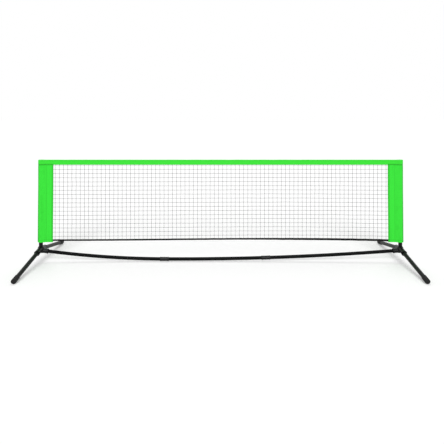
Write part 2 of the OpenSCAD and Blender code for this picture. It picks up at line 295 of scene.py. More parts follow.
twine_braid = braided("twine_braid", "#363a3a", "#141618", 0.0022, 0.00025, 0.6)
cord_braid = braided("head_cord_braid", "#e6e6e0", "#a9a9a2", 0.004, 0.0005, 0.7)
green_thread = braided("green_thread", "#5cf056", "#27a825", 0.0008, 0.00008, 0.55)
black_thread = braided("black_thread", "#2c2d2e", "#0c0c0c", 0.0008, 0.00008, 0.55)

# %% [markdown]
# The CAD nodes that are right as they are only need their finish. Assigning to the node's material
# slot leaves its mesh alone.

# %% Finishes for the CAD nodes
def refinish(finish, *nodes):
    for name in nodes:
        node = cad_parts[name]
        node.data.materials.clear()
        node.data.materials.append(finish)
        node.data.polygons.foreach_set("material_index", [0] * len(node.data.polygons))
    print(finish.name, "on", ", ".join(nodes))


refinish(bar_coat, "base_bar_left", "base_bar_middle", "base_bar_right")
refinish(leg_coat, "left_post", "right_post", "left_front_leg", "left_rear_leg",
         "right_front_leg", "right_rear_leg")
refinish(cap_plastic, "left_post_cap", "right_post_cap")

# %% [markdown]
# ## Making meshes
#
# Most pieces here are lofts: rings or rows of points, joined to their neighbours by four-sided faces.
# One helper numbers the faces of such a grid, and one turns points and faces into a piece that has a
# finish and rides on its body. Doubled points are welded, so a loft may close on a point or a line.

# %% Grids of faces, and pieces
def grid(rows, columns, close_rows=False, close_columns=False, first=0):
    r = np.arange(rows if close_rows else rows - 1)[:, None]
    c = np.arange(columns if close_columns else columns - 1)[None, :]
    below, beside = (r + 1) % rows, (c + 1) % columns
    corners = (r * columns + c, r * columns + beside, below * columns + beside, below * columns + c)
    return np.stack(corners, -1).reshape(-1, 4) + first


def make_piece(name, points, faces, finish, body, sharp=40, weld=True, crease=None):
    mesh = bpy.data.meshes.new(name)
    mesh.from_pydata(np.asarray(points).reshape(-1, 3).tolist(), [], [list(f) for f in faces])
    if crease is not None:
        mesh.attributes.new("crease", "FLOAT", "POINT").data.foreach_set("value", crease.ravel())
    if weld:
        work = bmesh.new()
        work.from_mesh(mesh)
        bmesh.ops.remove_doubles(work, verts=work.verts, dist=2e-6)
        bmesh.ops.recalc_face_normals(work, faces=work.faces)
        work.to_mesh(mesh)
        work.free()
    mesh.polygons.foreach_set("use_smooth", [True] * len(mesh.polygons))
    mesh.set_sharp_from_angle(angle=math.radians(sharp))
    mesh.materials.append(finish)
    piece = bpy.data.objects.new(name, mesh)
    bpy.context.scene.collection.objects.link(piece)
    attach(piece, body) or piece
    print(f"{name}: {len(mesh.vertices)} points, {len(mesh.polygons)} faces")
    return piece


# %% [markdown]
# Cloth and rope are never perfectly even. A sum of a few seeded sine waves makes a smooth, repeatable
# unevenness that can be asked for at any place, unlike a random number for each point.

# %% Smooth unevenness
def ripple(across, along, wave_across, wave_along, waves=7):
    total = np.zeros(np.broadcast(across, along).shape)
    for _ in range(waves):
        a, b = dice.uniform(0.55, 1.7, 2) * dice.choice([-1, 1], 2)
        total = total + np.sin(math.tau * (a * across / wave_across + b * along / wave_along)
                               + dice.uniform(0, math.tau))
    return total / math.sqrt(waves)


def smooth_step(value, low, high):
    t = np.clip((value - low) / (high - low), 0, 1)
    return t * t * (3 - 2 * t)


# %% [markdown]
# ## The camera and the studio
#
# The picture is square-on: the camera looks level along the ground, so the posts stay parallel, and
# its lens is shifted down so that the net sits in the frame. The studio is a white floor that runs
# out into a white surround. The floor is lit only as strongly as the object needs, and adds a little
# white for the camera's own rays, so it reads as white and still keeps the soft shadows.

# %% Camera
CAMERA_AWAY, CAMERA_UP = 3.75, 1.25
lens = bpy.data.cameras.new("camera")
lens.lens, lens.sensor_width = 36.37, 36.0
lens.shift_x, lens.shift_y = 0.0032, -0.2482
camera = bpy.data.objects.new("camera", lens)
camera.location = (0.0, -CAMERA_AWAY, CAMERA_UP)
camera.rotation_euler = (math.radians(90), 0.0, 0.0)
bpy.context.scene.collection.objects.link(camera)
bpy.context.scene.camera = camera
bpy.context.scene.view_settings.view_transform = "Standard"
print("camera at", tuple(camera.location))

# %% Floor
SEEN_BY = ("Is Camera Ray", "Is Glossy Ray", "Is Transmission Ray")
FLOOR_GLOW = 0.3


def seen_directly(finish):
    camera_ray, glossy_ray, clear_ray = (
        finish.node("ShaderNodeLightPath", output=name) for name in SEEN_BY)
    return (camera_ray + glossy_ray + clear_ray).least(1)


floor_finish = Finish("studio_floor")
pale = floor_finish.noise(0.6, 2)
floor_finish.surface(
    Base_Color=floor_finish.blend(pale, paint("#e4e4e4"), paint("#e8e8e8")),
    Roughness=1.0, Specular_IOR_Level=0.0)
glow = floor_finish.node("ShaderNodeEmission", sockets={"Color": (1, 1, 1, 1), "Strength": FLOOR_GLOW})
both = floor_finish.node("ShaderNodeAddShader", sockets={
    0: Wire(floor_finish, floor_finish.shader.outputs[0]), 1: glow})
shown = floor_finish.node("ShaderNodeMixShader", sockets={
    0: seen_directly(floor_finish), 1: Wire(floor_finish, floor_finish.shader.outputs[0]), 2: both})
floor_finish.fill(floor_finish.tree.nodes["Material Output"], {"Surface": shown})

FLOOR = 60.0
floor_mesh = bpy.data.meshes.new("floor")
floor_mesh.from_pydata([(-FLOOR, -FLOOR, 0), (FLOOR, -FLOOR, 0), (FLOOR, FLOOR, 0), (-FLOOR, FLOOR, 0)],
                       [], [(0, 1, 2, 3)])
floor_mesh.materials.append(floor_finish.material)
floor = bpy.data.objects.new("floor", floor_mesh)
bpy.context.scene.collection.objects.link(floor)

# %% World
class Surround(Finish):
    def __init__(self):
        world = bpy.data.worlds.new("studio")
        bpy.context.scene.world = world
        world.use_nodes = True
        self.tree = world.node_tree
        self.shader = self.tree.nodes["Background"]


SKY = 0.35
surround = Surround()
seen = seen_directly(surround)
surround.fill(surround.shader, {"Color": (1, 1, 1, 1), "Strength": seen * (1 - SKY) + SKY})


# %% [markdown]
# Two suns light the net. The key comes from the front and above, and its wide disc gives soft
# shadows. The other comes from behind and above, so that the rear of the cloth isn't left dark.

# %% Suns
def sun(name, energy, spread, direction):
    light = bpy.data.lights.new(name, "SUN")
    light.energy, light.angle = energy, math.radians(spread)
    holder = bpy.data.objects.new(name, light)
    holder.rotation_euler = Vector(direction).to_track_quat("-Z", "Y").to_euler()
    bpy.context.scene.collection.objects.link(holder)
    print(f"{name}: energy {energy}, {spread} degrees across")


sun("key_light", 2.07, 30, (0, 8, -5))
sun("back_light", 0.8, 36, (0, -4, -8))

# %% [markdown]
# ## The twine net
#
# The net is knotless: four strands meet at each joint and are braided through one another, so the
# joint is a small lump. Each strand is a thin six-sided tube whose rings crowd together at the
# joints. One function says where any point of the net lies, with its slight waver and the arch of the
# lower edge, and both sets of strands ask it, so they meet exactly. The arch is highest to the right
# of the middle.

# %% Where a point of the net lies
CELL = 35 * MM
HALF_NET = mesh_high.x - 1 * MM
COLUMNS = round(2 * HALF_NET / CELL)
NET_TOP = mesh_high.z - 1 * MM
BINDING_H = 12 * MM
FOLD = 1.1 * MM
BINDING_RISE = binding_high.z - binding_low.z - BINDING_H


def arch(x):
    along = np.clip(x / SLEEVE_IN, -1, 1)
    return BINDING_RISE * (1 + along) * (1 - along ** 2)


def net_foot(x):
    return binding_low.z + FOLD + 1 * MM + arch(x)


ROWS = round((NET_TOP - net_foot(0)) / CELL)


def waver(u, v, size):
    return size * ripple(u, v, 9.0, 5.0)


def net_field(u, v):
    """Columns and rows of the net, counted in cells, to places in metres."""
    x = HALF_NET * (2 * u / COLUMNS - 1)
    low = net_foot(x)
    free = np.sin(np.pi * np.clip(v / ROWS, 0, 1)) ** 0.5 * np.clip((SLEEVE_IN - np.abs(x)) / 0.08, 0, 1)
    return x, low + (NET_TOP - low) * v / ROWS, free


steps_u, steps_v = np.meshgrid(np.linspace(0, COLUMNS, COLUMNS * 4 + 1),
                               np.linspace(0, ROWS, ROWS * 4 + 1), indexing="ij")
WAVER_SIZE = (("x", 0.5 * MM), ("z", 0.5 * MM), ("y", 1.6 * MM))
WAVER = {axis: waver(steps_u, steps_v, size) for axis, size in WAVER_SIZE}
print(f"net of {COLUMNS} by {ROWS} cells")

# %% The strands
TWINE_R = 1.1 * MM
WITHIN_CELL = (0.0, 0.045, 0.25, 0.5, 0.75, 0.955)
THICKNESS = (1.3, 1.02, 0.97, 0.95, 0.97, 1.02)


def strand_steps(cells):
    where = [c + w for c in range(cells) for w in WITHIN_CELL] + [cells]
    thick = list(THICKNESS) * cells + [THICKNESS[0]]
    return np.array(where), np.array(thick) * TWINE_R


def sample(table, u, v):
    """Reads a table of quarter cells between its points."""
    a, b = np.clip(u * 4, 0, table.shape[0] - 1.001), np.clip(v * 4, 0, table.shape[1] - 1.001)
    i, j = a.astype(int), b.astype(int)
    s, t = a - i, b - j
    return ((1 - s) * (1 - t) * table[i, j] + s * (1 - t) * table[i + 1, j]
            + (1 - s) * t * table[i, j + 1] + s * t * table[i + 1, j + 1])


def strands(count, cells, upright):
    where, radius = strand_steps(cells)
    line = np.arange(count)[:, None] + 0 * where[None, :]
    step = where[None, :] + 0 * line
    u, v = (line, step) if upright else (step, line)
    x, z, free = net_field(u, v)
    sag = 0 if upright else 0.5 * MM * np.sin(np.pi * (u % 1)) * free
    centre = np.stack([x + free * sample(WAVER["x"], u, v), free * sample(WAVER["y"], u, v),
                       z + free * sample(WAVER["z"], u, v) - sag], -1)
    angle = np.arange(6) * math.tau / 6 + math.tau / 12
    side = np.array([1, 0, 0]) if upright else np.array([0, 0, 1])
    ring = np.cos(angle)[:, None] * side + np.sin(angle)[:, None] * np.array([0, 1, 0])
    points = centre[:, :, None, :] + radius[None, :, None, None] * ring[None, None]
    size = len(where) * 6
    faces = np.concatenate([grid(len(where), 6, close_columns=True, first=k * size) for k in range(count)])
    return points.reshape(-1, 3), faces


upright_points, upright_faces = strands(COLUMNS + 1, ROWS, True)
level_points, level_faces = strands(ROWS + 1, COLUMNS, False)
twine_uprights = make_piece("twine_uprights", upright_points, upright_faces, twine_braid, "net",
                            sharp=80, weld=False)
twine_rows = make_piece("twine_rows", level_points, level_faces, twine_braid, "net",
                        sharp=80, weld=False)
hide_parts("net_mesh")
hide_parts("net_mesh")

# %% [markdown]
# ## Cloth round a post
#
# Seen from above, cloth that is pulled round a post runs straight to the post, round it, and straight
# on again: two tangents and an arc. The tape needs that line as a half width at each place along the
# net, and the sleeve needs it as a path to follow, so one function gives its points. Distances along
# the net start at the post's axis and grow towards the middle of the net.

# %% Plan of the cloth round a post
def tangent_angle(away, half, radius):
    return math.atan2(half, away) + math.acos(radius / math.hypot(away, half))


def half_plan(edge, edge_half, radius, taper, band_half, band_end, steps=24):
    start = math.pi - tangent_angle(edge, edge_half, radius)
    end = tangent_angle(taper, band_half, radius)
    arc = [(radius * math.cos(a), radius * math.sin(a)) for a in np.linspace(start, end, steps)]
    return np.array([(-edge, edge_half), *arc, (taper, band_half), (band_end, band_half)])


def resample(points, spacing):
    run = np.concatenate([[0], np.cumsum(np.linalg.norm(np.diff(points, axis=0), axis=1))])
    at = np.linspace(0, run[-1], max(2, round(run[-1] / spacing) + 1))
    return np.stack([np.interp(at, run, points[:, k]) for k in range(points.shape[1])], -1), at


EDGE = tape_high.x - POST_X
TAPER, SEAM = 48 * MM, 5 * MM
BAND = POST_X - SLEEVE_IN
CLOTH, TAPE = 1.1 * MM, 1.2 * MM
TAPE_R = tape_high.y
TAPE_HALF = 2.3 * MM

# %% [markdown]
# ## The top tape
#
# The tape is a strip of coated cloth, folded over the head cord and sewn below it, then sewn again
# along its lower edges with the mesh between. At the ends it opens over the sleeves and the posts. It
# is lofted from cross-sections along the net: each runs up the front face, over the fold and down the
# rear face. A second skin one cloth's thickness inside makes it a real sheet with an edge.

# %% Half width of the tape
outline = half_plan(EDGE, 2.4 * MM, TAPE_R, TAPER, 3.5 * MM, BAND + 1.3 * MM)
outline = np.vstack([outline, [(BAND + 9 * MM, TAPE_HALF), (POST_X, TAPE_HALF)]])


def bulge(s):
    """Half the width of the tape at a distance s from the post, where it passes over the sleeve."""
    near = np.interp(s, outline[:, 0], outline[:, 1])
    around = sum(np.interp(s + d * MM, outline[:, 0], outline[:, 1]) for d in (-3, -1.5, 1.5, 3)) / 4
    round_end = np.sqrt(np.clip(1 - (1 - np.clip((s + EDGE) / (2.4 * MM), 0, 1)) ** 2, 0, 1))
    return (near * 0.5 + around * 0.5) * round_end


TAPE_SEAMS = (3.5 * MM, 32.5 * MM)
BELLY = np.array([(0, 2.3), (3.5, 1.7), (16, 2.7), (29, 2.1), (33, 1.7), (36, 3.2), (38.7, 3.8)]) * MM

# %% Loft the tape
coarse = np.arange(-POST_X + 0.12, POST_X - 0.12, 7 * MM)
fine = np.concatenate([np.linspace(0, 2.4, 7), np.linspace(3.4, 143, 94)]) * MM
stations = np.concatenate([-tape_high.x + fine, coarse, (tape_high.x - fine)[::-1]])


def tape_skin(inset, seed_ripple):
    half_count, corner = 12, 6
    s = POST_X - np.abs(stations)
    width = np.maximum(bulge(s) - inset * (bulge(s) > inset), 0.02 * MM)
    end = smooth_step(tape_high.x - np.abs(stations), 0, 6 * MM)
    top = tape_high.z - inset - (1 - end) * 1.2 * MM - 0.5 * MM * (0.5 + 0.5 * seed_ripple[:, 0])
    rows = []
    for k, (w, roof) in enumerate(zip(width, top)):
        tall = min(3.8 * MM, 3.8 * MM * end[k] + w * (1 - end[k])) - inset * 0.9
        crown = max(w, tall)
        bend = min(6 * MM, crown * 0.95)
        shoulder = roof - bend
        side_z = np.linspace(tape_low.z, shoulder, half_count, endpoint=False)
        belly = np.interp(side_z - tape_low.z, BELLY[:, 0], BELLY[:, 1]) - inset
        belly = np.minimum(belly, crown) + 0.35 * MM * seed_ripple[k] * np.linspace(1, 0.2, half_count)
        lower = np.maximum(belly * end[k], w)
        turn = np.linspace(0, math.pi / 2, corner)
        y = np.concatenate([lower, crown - bend + bend * np.cos(turn), [0]])
        z = np.concatenate([side_z, shoulder + bend * np.sin(turn), [roof]])
        y_full = np.concatenate([-y, y[-2::-1]])
        z_full = np.concatenate([z, z[-2::-1]])
        rows.append(np.stack([np.full(len(y_full), stations[k]), y_full, z_full], -1))
    return np.array(rows)


unevenness = ripple(stations[:, None], np.linspace(0, 1, 12)[None, :], 0.19, 2.5)
outside = tape_skin(0.0, unevenness)
inside = tape_skin(TAPE, unevenness)
inside[:, :, 0] *= (tape_high.x - TAPE) / tape_high.x
n_rows, n_cols = outside.shape[:2]
shell = np.concatenate([outside, inside]).reshape(-1, 3)
second = n_rows * n_cols
faces = [*grid(n_rows, n_cols), *grid(n_rows, n_cols, first=second)]
for r in range(n_rows - 1):
    for c in (0, n_cols - 1):
        a, b = r * n_cols + c, (r + 1) * n_cols + c
        faces.append((a, b, b + second, a + second))
height = shell[:, 2] - tape_low.z
sewn = sum(np.exp(-((height - seam) / (1.6 * MM)) ** 2) for seam in TAPE_SEAMS)
# Over the sleeves the lowest 9 mm of the tape is darkened, a painted shadow along the edge where the tape
# lies on the sleeve. The two seams are darker lines.
over_sleeve = smooth_step(np.abs(shell[:, 0]), SLEEVE_IN - 2 * MM, SLEEVE_IN + 2 * MM)
turned_hem = (1 - smooth_step(height, 6 * MM, 9.5 * MM)) * over_sleeve
top_tape = make_piece("top_tape_cloth", shell, faces, tape_cloth, "net",
                      crease=np.clip(sewn * 0.5 + turned_hem, 0, 1))
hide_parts("top_tape")

# %% [markdown]
# The head cord runs inside the fold, where it takes the pull of the net. It is three strands laid
# round one another, which a ring with three lobes, turned a little further at each step, gives.

# %% Head cord
CORD_R = (cord_high.z - cord_low.z) / 2
cord_mid = (cord_high.z + cord_low.z) / 2
cord_x = np.arange(cord_low.x, cord_high.x, 3.2 * MM)
cord_angle = np.arange(12) * math.tau / 12
twist = cord_x[:, None] * math.tau / 0.026
lobe = CORD_R * (0.9 + 0.1 * np.cos(3 * (cord_angle[None, :] + twist)))
cord_points = np.stack([np.repeat(cord_x[:, None], 12, 1), lobe * np.cos(cord_angle),
                        cord_mid + lobe * np.sin(cord_angle)], -1)
cord_faces = [*grid(len(cord_x), 12, close_columns=True), tuple(range(12))[::-1],
              tuple(range(cord_points[..., 0].size - 12, cord_points[..., 0].size))]
head_cord = make_piece("head_rope", cord_points, cord_faces, cord_braid, "net")
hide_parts("head_cord")

# %% [markdown]
# ## The sleeves
#
# A sleeve is one strip of cloth. It starts at the band on the front of the mesh, runs round the post,
# folds at the outer edge and comes back to the band on the rear, and two rows of stitches close the
# pocket beside the post. So it is made as it is sewn: a path seen from above, thickened to both
# sides and carried up the post. Creases are added as a shift along the cloth's own normal, strongest
# where it hangs free and none where it is sewn.

# %% Path of the sleeve, seen from above
def sleeve_path():
    edge = EDGE - TAPE - 0.1 * MM - CLOTH / 2
    middle_r = POST_R + 0.4 * MM + CLOTH / 2
    middle_band = 1.1 * MM + CLOTH / 2
    half = half_plan(edge, CLOTH / 2 + 0.02 * MM, middle_r, TAPER, middle_band, BAND, 36)
    band, turn = half[::-1], half[:1] + np.array([[-CLOTH / 2, 0]])
    whole = np.vstack([band, turn * np.array([[1, 0]]), half * np.array([[1, -1]])])
    return resample(whole, 1.6 * MM)


plan, run = sleeve_path()
plan[1:-1] = (plan[:-2] + 2 * plan[1:-1] + plan[2:]) / 4
slope = np.gradient(plan, axis=0)
normal = np.stack([-slope[:, 1], slope[:, 0]], -1) / np.linalg.norm(slope, axis=1)[:, None]
print(f"the sleeve's strip is {run[-1]:.3f} m wide")

# %% Loft a sleeve
SLEEVE_TOP = tape_high.z - TAPE - 0.1 * MM - 1 * MM
HEM_EDGE, HEM_SEAM = 19 * MM, 18 * MM


def sleeve(side):
    hem_rows = np.array([0, 0.4, 1.2, 3, 5, 8, 12, 16, 18, 19, 20, 21, 23]) * MM
    heights = np.concatenate([sleeve_low.z + hem_rows,
                              np.linspace(sleeve_low.z + 27 * MM, SLEEVE_TOP, 150)])
    up = heights[:, None] - sleeve_low.z
    s = plan[None, :, 0]
    way = np.sign(plan[None, :, 1])
    free_round = smooth_step(np.abs(plan[None, :, 1]), 2.5 * MM, 9 * MM)
    free_flat = (smooth_step(s, TAPER + SEAM, TAPER + SEAM + 9 * MM)
                 * smooth_step(BAND - s, 2 * MM, 10 * MM))
    under_tape = 1 - smooth_step(heights[:, None], tape_low.z - 10 * MM, tape_low.z)
    drape = ripple(s * (1 + 0.2 * way), up, 0.05, 0.6)
    pulls = ripple(s + way * 0.02, up + 0.5 * np.abs(s), 0.16, 0.11)
    crease = free_round * (0.25 * MM * pulls + 0.4 * MM * drape) + free_flat * 0.3 * MM * drape
    crease = crease * (0.35 + 0.65 * smooth_step(up, 0, 0.05)) * under_tape
    shift = np.where(free_round > 0, np.maximum(crease, -0.25 * MM), crease)
    hem = 0.35 * MM * (1 - smooth_step(up, HEM_EDGE, HEM_EDGE + 1.5 * MM)) * under_tape
    lean = -(1.5 + 3.5 * (1 - smooth_step(up, 0, 0.55))) * MM * (1 - free_round) * under_tape
    lean = np.where(s < 0, lean, lean * smooth_step(s, POST_R, TAPER))
    sheets = []
    for half_cloth in (CLOTH / 2, -CLOTH / 2):
        off = normal[None, :, :] * (half_cloth + shift + np.sign(half_cloth) * hem * 0.5)[..., None]
        place = plan[None, :, :] + off
        x = side * (POST_X - place[..., 0] - lean)
        sheets.append(np.stack([x, place[..., 1], heights[:, None] + 0 * x], -1))
    rows, cols = sheets[0].shape[:2]
    ring = np.concatenate([sheets[0], sheets[1][:, ::-1]], axis=1)
    faces = [*grid(rows, 2 * cols, close_columns=True)]
    for row in (0, rows - 1):
        for c in range(cols - 1):
            a = row * 2 * cols
            faces.append((a + c, a + c + 1, a + 2 * cols - 2 - c, a + 2 * cols - 1 - c))
    # The sleeve's crease attribute is painted shade: darker in the valleys of the creases, a painted
    # shadow just under the tape's edge, and painted shade along the band's end and round the outer fold.
    # The pocket seam and the top of the hem are darker lines.
    dark = np.clip(-crease / (0.9 * MM), 0, 1) * 0.2
    # seam darkens the pocket seam; its second term is painted shade along the outer fold.
    seam = (np.exp(-((s - TAPER - SEAM / 2) / (2.2 * MM)) ** 2) * 0.5
            + np.exp(-((s + 20.5 * MM) / (2 * MM)) ** 2) * 0.8)
    hem_line = np.exp(-((up - HEM_EDGE) / (1.5 * MM)) ** 2) * 0.6
    under_line = smooth_step(heights[:, None], tape_low.z - 6 * MM, tape_low.z - 1 * MM) * 0.8
    edges = smooth_step(s, BAND - 18 * MM, BAND - 6 * MM) * 0.7 + smooth_step(-s, 5 * MM, 16 * MM) * 0.6
    mask = np.clip(dark + seam + hem_line + under_line + edges, 0, 1) * np.ones_like(sheets[0][..., 0])
    mask = np.concatenate([mask, mask[:, ::-1]], axis=1)
    name = END_NAME[side] + "_sleeve"
    piece = make_piece(name + "_cloth", ring, faces, sleeve_cloth, "net", sharp=60,
                       crease=mask)
    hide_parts(name)
    return sheets[0], heights


sleeve_sheets = {side: sleeve(side) for side in (LEFT, RIGHT)}

# %% [markdown]
# ## The bottom binding
#
# A strip of black webbing is folded up over the lowest row of twine and sewn through. Its section is
# a narrow U, and the loft follows the arch that the tight mesh pulls the lower edge into. The fold
# hangs a little deeper on the right, so the section is stretched downwards there. The binding ends at
# the sleeves, whose bands lean outwards a little at the foot.

# %% Loft the binding
BAND_LEAN, BINDING_SEAM = 4.6 * MM, 9 * MM
bind_x = np.linspace(binding_low.x - BAND_LEAN, binding_high.x + BAND_LEAN, 281)
BIND_HALF = binding_high.y
section = [(BIND_HALF, BINDING_H), (BIND_HALF * 1.06, BINDING_H * 0.55), (BIND_HALF * 0.93, 3 * MM)]
section += [(BIND_HALF * 0.93 * math.cos(a), 2.1 * MM - 2.1 * MM * math.sin(a))
            for a in np.linspace(0.2, math.pi / 2, 5)]
section = np.array(section)
outer_u = np.vstack([section, (section * np.array([[-1, 1]]))[-2::-1]])
slope_u = np.gradient(outer_u, axis=0)
inward = np.stack([slope_u[:, 1], -slope_u[:, 0]], -1) / np.linalg.norm(slope_u, axis=1)[:, None]
inner_u = outer_u + inward * FOLD
loop = np.vstack([outer_u, inner_u[::-1]])
uneven = ripple(bind_x[:, None], np.linspace(0, 1, len(loop))[None, :], 0.16, 3.0)
droop = (1.8 + 3.6 * smooth_step(bind_x, 0.1, 0.75)) * MM
loop_z = BINDING_H - (BINDING_H - loop[None, :, 1]) * (1 + droop[:, None] / BINDING_H)
bind = np.stack([np.repeat(bind_x[:, None], len(loop), 1),
                 loop[None, :, 0] + 0.12 * MM * uneven,
                 binding_low.z + arch(bind_x)[:, None] + loop_z + 0.25 * MM * (uneven - 1)], -1)
bind_rows, bind_cols = bind.shape[:2]
n_u = len(outer_u)
bind_faces = [*grid(bind_rows, bind_cols, close_columns=True)]
for row in (0, bind_rows - 1):
    for c in range(n_u - 1):
        a = row * bind_cols
        bind_faces.append((a + c, a + c + 1, a + bind_cols - 2 - c, a + bind_cols - 1 - c))
selvedge = np.abs(bind[..., 2] - binding_low.z - arch(bind_x)[:, None] - BINDING_SEAM)
bottom_binding = make_piece("bottom_binding_web", bind, bind_faces, binding_web, "net",
                            crease=np.exp(-(selvedge / (1.2 * MM)) ** 2) * 0.5)
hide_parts("bottom_binding")

# %% [markdown]
# ## Stitching
#
# A seam is a row of short threads that dive into the cloth at both ends. One stitch is a tiny
# eight-sided bead, stretched along the seam and arched in the middle, and a row repeats it at an even
# pitch along any path. The path comes with the direction in which the cloth faces.

# %% Rows of stitches
def stitch_row(path, facing, pitch=4.2 * MM, length=3.1 * MM, thick=0.32 * MM):
    steps = resample(np.hstack([path, facing]), pitch)[0]
    spots, out = steps[:, :3], steps[:, 3:]
    out = out / np.linalg.norm(out, axis=1)[:, None]
    ahead = np.gradient(spots, axis=0)
    ahead = ahead / np.linalg.norm(ahead, axis=1)[:, None]
    side = np.cross(ahead, out)
    along = np.array([-0.5, -0.34, 0.0, 0.34, 0.5]) * length
    lift = np.array([-0.25, 0.45, 0.75, 0.45, -0.25]) * thick
    radius = np.array([0.45, 0.95, 1.0, 0.95, 0.45]) * thick
    angle = np.arange(6) * math.tau / 6
    ring = (np.cos(angle)[None, None, :, None] * side[:, None, None, :]
            + np.sin(angle)[None, None, :, None] * out[:, None, None, :])
    points = (spots[:, None, None, :] + ahead[:, None, None, :] * along[None, :, None, None]
              + out[:, None, None, :] * lift[None, :, None, None] + ring * radius[None, :, None, None])
    one = grid(5, 6, close_columns=True)
    faces = [tuple(f) for k in range(len(spots)) for f in (one + 30 * k)]
    faces += [tuple(range(30 * k, 30 * k + 6)) for k in range(len(spots))]
    faces += [tuple(range(30 * k + 24, 30 * k + 30))[::-1] for k in range(len(spots))]
    return points.reshape(-1, 3), faces


def seams(name, rows, finish, body):
    points, faces, count = [], [], 0
    for path, facing in rows:
        row_points, row_faces = stitch_row(path, facing)
        points.append(row_points)
        faces += [tuple(i + count for i in f) for f in row_faces]
        count += len(row_points)
    return make_piece(name, np.concatenate(points), faces, finish, body, sharp=70, weld=False)


# %% Stitches of the tape
def tape_row(height, way):
    z = tape_low.z + height
    at = np.array([np.interp(z, outside[i, :13, 2], np.abs(outside[i, :13, 1])) for i in range(n_rows)])
    keep = (np.abs(stations) < tape_high.x - 2.5 * MM)
    path = np.stack([stations, way * at, np.full(n_rows, z)], -1)[keep]
    run_dir = np.gradient(path[:, :2], axis=0)
    face = np.stack([run_dir[:, 1], -run_dir[:, 0], 0 * path[:, 0]], -1)
    face *= np.sign(face[:, 1:2] * way + 1e-12)
    return path, face


seams("tape_stitches", [tape_row(h, w) for h in TAPE_SEAMS for w in (FRONT, REAR)],
      green_thread, "net")

# %% Stitches of the sleeves
def sleeve_rows(side):
    sheet, heights = sleeve_sheets[side]
    rows = []
    centre = len(plan) // 2
    columns = (TAPER + 0.6 * MM, TAPER + SEAM, BAND - 3 * MM)
    for target, half in ((column, half) for half in (0, 1) for column in columns):
        span = np.arange(len(plan)) < centre if half == 0 else np.arange(len(plan)) >= centre
        column = np.where(span, np.abs(plan[:, 0] - target), 9).argmin()
        keep = heights < tape_low.z - 1 * MM
        path = sheet[keep, column]
        facing = np.tile([[0.0, np.sign(path[0, 1]), 0.0]], (len(path), 1))
        rows.append((path, facing))
    hem = np.abs(heights - sleeve_low.z - HEM_SEAM).argmin()
    path = sheet[hem]
    direction = np.gradient(path[:, :2], axis=0)
    face = np.stack([direction[:, 1], -direction[:, 0], 0 * path[:, 0]], -1)
    outward = np.sign((face[:, :2] * normal * np.array([[-side, 1]])).sum(1) + 1e-12)
    rows.append((path, face * outward[:, None]))
    return rows


for side in (LEFT, RIGHT):
    seams(END_NAME[side] + "_sleeve_stitches", sleeve_rows(side), green_thread, "net")

# %% Stitches of the binding
def binding_row(way):
    z = binding_low.z + arch(bind_x) + BINDING_SEAM - 0.25 * MM
    path = np.stack([bind_x, np.full(len(bind_x), way * BIND_HALF * 1.03), z], -1)[1:-1]
    return path, np.tile([[0.0, way, 0.0]], (len(path), 1))


seams("binding_stitches", [binding_row(FRONT), binding_row(REAR)], black_thread, "net")

# %% [markdown]
# ## Turned parts
#
# Foot caps and couplers are round, so each is a profile turned about an axis. A moulding has no sharp
# edges, and the helper rounds each corner of the profile with a small arc before it turns it.

# %% Turn a rounded profile
def rounded(corners, steps=5):
    """Corners are (distance along the axis, radius from it, rounding) round a closed profile."""
    out = []
    for k, (a, r, bend) in enumerate(corners):
        here = np.array([a, r])
        before, after = np.array(corners[k - 1][:2]), np.array(corners[(k + 1) % len(corners)][:2])
        first, last = before - here, after - here
        room = min(bend, np.linalg.norm(first) * 0.48, np.linalg.norm(last) * 0.48)
        start = here + first / np.linalg.norm(first) * room
        stop = here + last / np.linalg.norm(last) * room
        for t in np.linspace(0, 1, steps if bend > 0 else 1):
            out.append((1 - t) ** 2 * start + 2 * t * (1 - t) * here + t ** 2 * stop if bend > 0 else here)
    return np.array(out)


def turned(name, corners, origin, axis, finish, body, floor_cut=False, sides=72):
    profile = rounded([(a * MM, r * MM, b * MM) for a, r, b in corners])
    along = Vector(axis).normalized()
    turn = np.array(along.to_track_quat("Z", "Y").to_matrix())
    angle = np.arange(sides) * math.tau / sides
    local = np.stack([profile[None, :, 1] * np.cos(angle)[:, None],
                      profile[None, :, 1] * np.sin(angle)[:, None],
                      profile[None, :, 0] + 0 * angle[:, None]], -1)
    points = local @ turn.T + np.array(origin)
    if floor_cut:
        points[..., 2] = np.maximum(points[..., 2], 0)
    faces = grid(sides, len(profile), close_rows=True, close_columns=True)
    return make_piece(name, points, faces, finish, body, sharp=35)


# %% Foot caps
LEG_DOWN = 0.17364818  # sine of the legs' slope, 10 degrees
POST_BELOW = 27 * MM   # from the post's foot up to the centre of the hub
hub_centre = {side: Vector((side * POST_X, 0, post_low.z + POST_BELOW)) for side in (LEFT, RIGHT)}


def leg_axis(way):
    return Vector((0, way * math.sqrt(1 - LEG_DOWN ** 2), -LEG_DOWN))


for side in (LEFT, RIGHT):
    for way in (FRONT, REAR):
        leg = f"{END_NAME[side]}_{WAY_NAME[way]}"
        shape = [(442, 16.05, 0.3), (442, 19.0, 1.2), (446, 19.55, 2.0), (450, 19.2, 1.5), (496, 19.35, 3),
                 (509.9, 19.3, 4.5), (509.9, 0.02, 0), (503.96, 0.02, 0), (503.96, 16.05, 0.5)]
        cap = turned(leg + "_foot_cap", shape, hub_centre[side], leg_axis(way), foot_rubber,
                     leg + "_leg", floor_cut=True)
        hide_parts(leg + "_foot")

